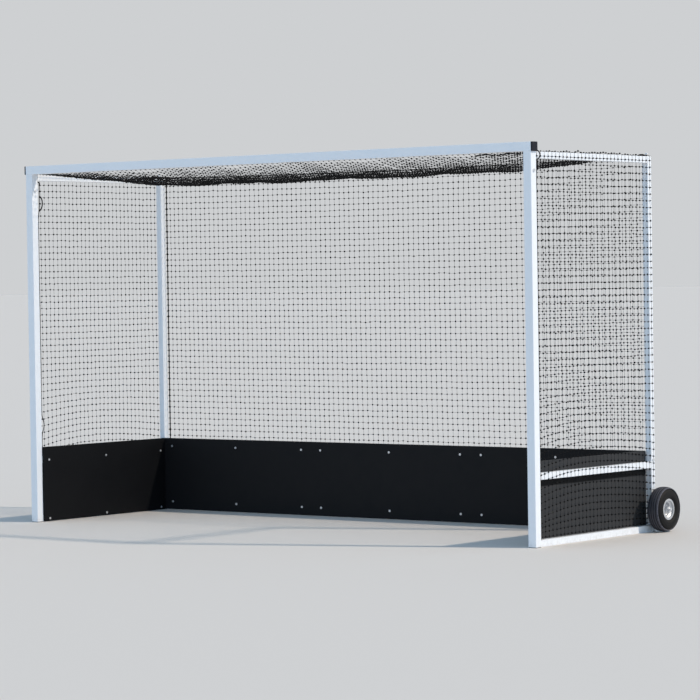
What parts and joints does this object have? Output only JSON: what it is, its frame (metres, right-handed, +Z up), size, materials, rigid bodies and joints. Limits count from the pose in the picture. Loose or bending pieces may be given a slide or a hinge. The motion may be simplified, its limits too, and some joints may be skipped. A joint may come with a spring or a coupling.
{
  "type": "field hockey goal",
  "caption": "Free-standing field hockey goal: white square-tube frame, black boards round the back and sides, black net hung over the frame, and transport wheels at the rear corners.",
  "frame": {"origin": "centre of the goal's bounding box on the ground, midway between the posts and between the front faces of the posts and the rearmost point of the tyres", "axes": "+X along the crossbar to the right as seen from the front, +Y from the mouth to the back, +Z up"},
  "size_m": [3.9684, 1.3272, 2.1844],
  "materials": {
    "frame_coating": "smooth white powder coat over extruded square aluminium tube",
    "bare_aluminium": "mill finish",
    "black_plastic": "moulded black polyethylene, satin",
    "white_plastic": "moulded white polyethylene, satin",
    "white_hook": "white powder coat on round bar",
    "board_plastic": "black polyethylene sheet, fine leathery satin surface",
    "zinc_fasteners": "bright zinc plate",
    "net_twine": "black braided polyethylene twine, knotted",
    "border_rope": "black braided polypropylene rope",
    "tyre_rubber": "black ribbed rubber, slightly dusty",
    "rim_steel": "zinc plated pressed steel",
    "bearing_steel": "ground steel with pressed shields"
  },
  "bodies": {
    "frame": {"crossbar": "frame_coating", "crossbar_cap_left": "black_plastic", "crossbar_cap_right": "black_plastic", "corner_spigot_left": "bare_aluminium", "corner_spigot_right": "bare_aluminium", "front_post_left": "frame_coating", "front_post_right": "frame_coating", "corner_bolts": "zinc_fasteners", "corner_nuts": "zinc_fasteners", "front_feet": "black_plastic", "rear_feet": "black_plastic", "top_rail_left": "frame_coating", "top_rail_right": "frame_coating", "mid_rail_left": "frame_coating", "mid_rail_right": "frame_coating", "bottom_rail_left": "frame_coating", "bottom_rail_right": "frame_coating", "rear_post_left": "frame_coating", "rear_post_right": "frame_coating", "rear_post_caps": "white_plastic", "rear_rail_upper": "frame_coating", "rear_rail_lower": "frame_coating", "rear_rail_plugs": "bare_aluminium", "rear_rail_bolts": "zinc_fasteners", "side_board_left": "board_plastic", "side_board_right": "board_plastic", "back_board_left": "board_plastic", "back_board_centre": "board_plastic", "back_board_right": "board_plastic", "side_board_screws": "zinc_fasteners", "back_board_screws": "zinc_fasteners", "net_top": "net_twine", "net_back": "net_twine", "net_left": "net_twine", "net_right": "net_twine", "net_hooks": "white_hook", "rear_top_rope": "border_rope", "front_top_rope": "border_rope", "crossbar_clips": "black_plastic", "side_ropes_left": "border_rope", "side_ropes_right": "border_rope", "corner_tie_left": "border_rope", "corner_tie_right": "border_rope", "axle_left": "zinc_fasteners", "axle_right": "zinc_fasteners", "axle_spacers": "zinc_fasteners", "axle_washers": "zinc_fasteners", "axle_nuts": "zinc_fasteners"},
    "wheel_left": {"tyre_left": "tyre_rubber", "rim_outer_left": "rim_steel", "rim_inner_left": "rim_steel", "hub_left": "rim_steel", "bearings_left": "bearing_steel", "rim_bolts_left": "zinc_fasteners"},
    "wheel_right": {"tyre_right": "tyre_rubber", "rim_outer_right": "rim_steel", "rim_inner_right": "rim_steel", "hub_right": "rim_steel", "bearings_right": "bearing_steel", "rim_bolts_right": "zinc_fasteners"}
  },
  "joints": [
    {"name": "wheel_spin_left", "type": "hinge", "parent": "frame", "child": "wheel_left", "pos_m": [-1.9344, 0.53658, 0.13], "axis": [1, 0, 0], "continuous": true},
    {"name": "wheel_spin_right", "type": "hinge", "parent": "frame", "child": "wheel_right", "pos_m": [1.9344, 0.53658, 0.13], "axis": [1, 0, 0], "continuous": true}
  ]
}
